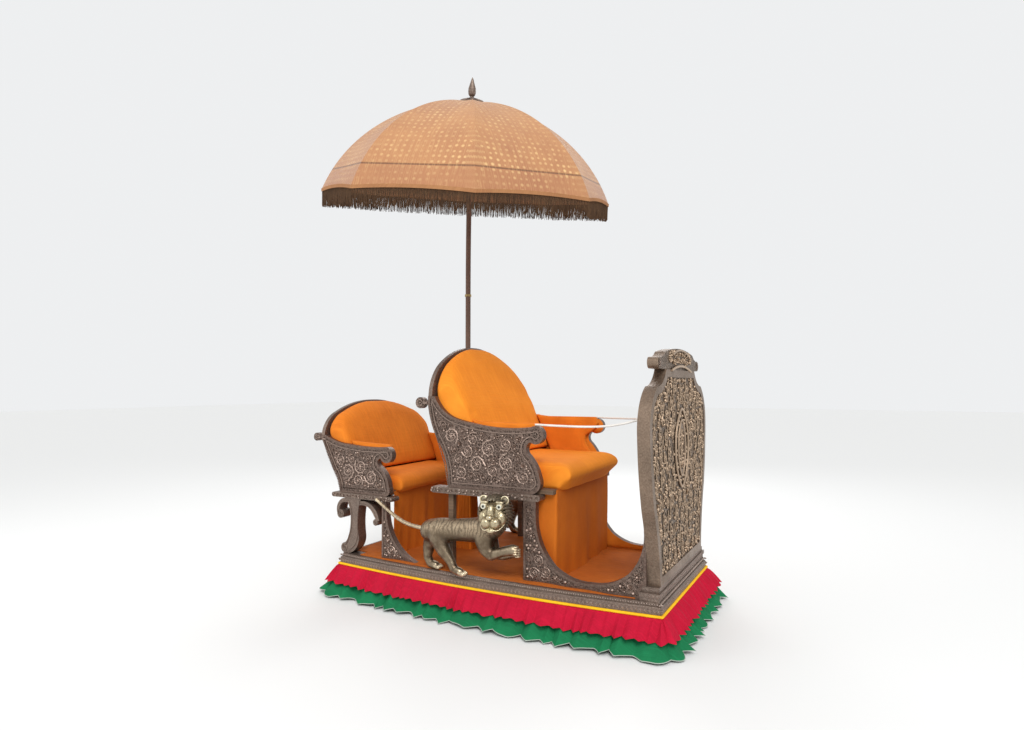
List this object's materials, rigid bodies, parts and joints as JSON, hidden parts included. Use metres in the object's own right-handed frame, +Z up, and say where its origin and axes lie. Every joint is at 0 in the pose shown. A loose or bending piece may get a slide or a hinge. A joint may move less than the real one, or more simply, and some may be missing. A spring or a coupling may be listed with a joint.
{
  "type": "two-seat howdah with parasol",
  "caption": "Silver-clad timber elephant saddle with a front seat, a rear attendant's seat, a tall front board, carved cats, gathered skirts and a lift-out parasol on a bowed pole.",
  "frame": {"origin": "on the surface it stands on, under the middle of the base", "axes": "+X forward to the tall front board, +Y to the rider's left, +Z up"},
  "size_m": [2.0936, 1.5674, 2.7551],
  "materials": {
    "silver": "darkened repousse silver sheet over timber, worn bright on the raised work",
    "cat_silver": "silver-gilt, polished and worn, with engraved stripes",
    "orange_cloth": "matt woven cotton",
    "base_timber": "rough planed hardwood",
    "crimson_cloth": "gathered cotton",
    "green_cloth": "gathered cotton with a white stitched hem",
    "yellow_piping": "rolled cotton piping",
    "canopy_cloth": "faded silk brocade with small spots",
    "fringe_thread": "twisted thread fringe",
    "pole_wood": "worn turned wood",
    "old_brass": "darkened brass",
    "rib_wood": "split cane and turned wood",
    "cord_white": "braided cotton"
  },
  "bodies": {
    "howdah": {"bearers": "base_timber", "cross_bearers": "base_timber", "base_plinth": "silver", "front_plinth": "silver", "front_panel": "silver", "front_seat_back": "silver", "rear_seat_back": "silver", "front_seat_board": "base_timber", "rear_seat_board": "base_timber", "front_seat_posts": "base_timber", "floor_cloth": "orange_cloth", "front_valance": "orange_cloth", "rear_valance": "orange_cloth", "front_cushion": "orange_cloth", "rear_cushion": "orange_cloth", "front_back_pad": "orange_cloth", "rear_back_pad": "orange_cloth", "yellow_piping": "yellow_piping", "red_ruffle": "crimson_cloth", "green_ruffle": "green_cloth", "pole_post": "orange_cloth", "pole_ring": "old_brass", "cord_staples": "old_brass", "side_frame_right": "silver", "rear_spandrel_right": "silver", "front_side_panel_right": "silver", "rear_side_panel_right": "silver", "front_beam_right": "silver", "rear_beam_right": "silver", "rear_leg_right": "silver", "front_arm_pad_right": "orange_cloth", "rear_arm_pad_right": "orange_cloth", "cat_right": "cat_silver", "cord_right": "cord_white", "side_frame_left": "silver", "rear_spandrel_left": "silver", "front_side_panel_left": "silver", "rear_side_panel_left": "silver", "front_beam_left": "silver", "rear_beam_left": "silver", "rear_leg_left": "silver", "front_arm_pad_left": "orange_cloth", "rear_arm_pad_left": "orange_cloth", "cat_left": "cat_silver", "cord_left": "cord_white"},
    "parasol": {"pole": "pole_wood", "pole_ferrule": "old_brass", "canopy": "canopy_cloth", "fringe": "fringe_thread", "canopy_ribs": "rib_wood", "stretchers": "rib_wood", "crown_cap": "silver", "finial": "silver"}
  },
  "joints": [
    {"name": "parasol_lift", "type": "slide", "parent": "howdah", "child": "parasol", "axis": [0, 0, 1], "range_m": [0, 0.8]}
  ]
}
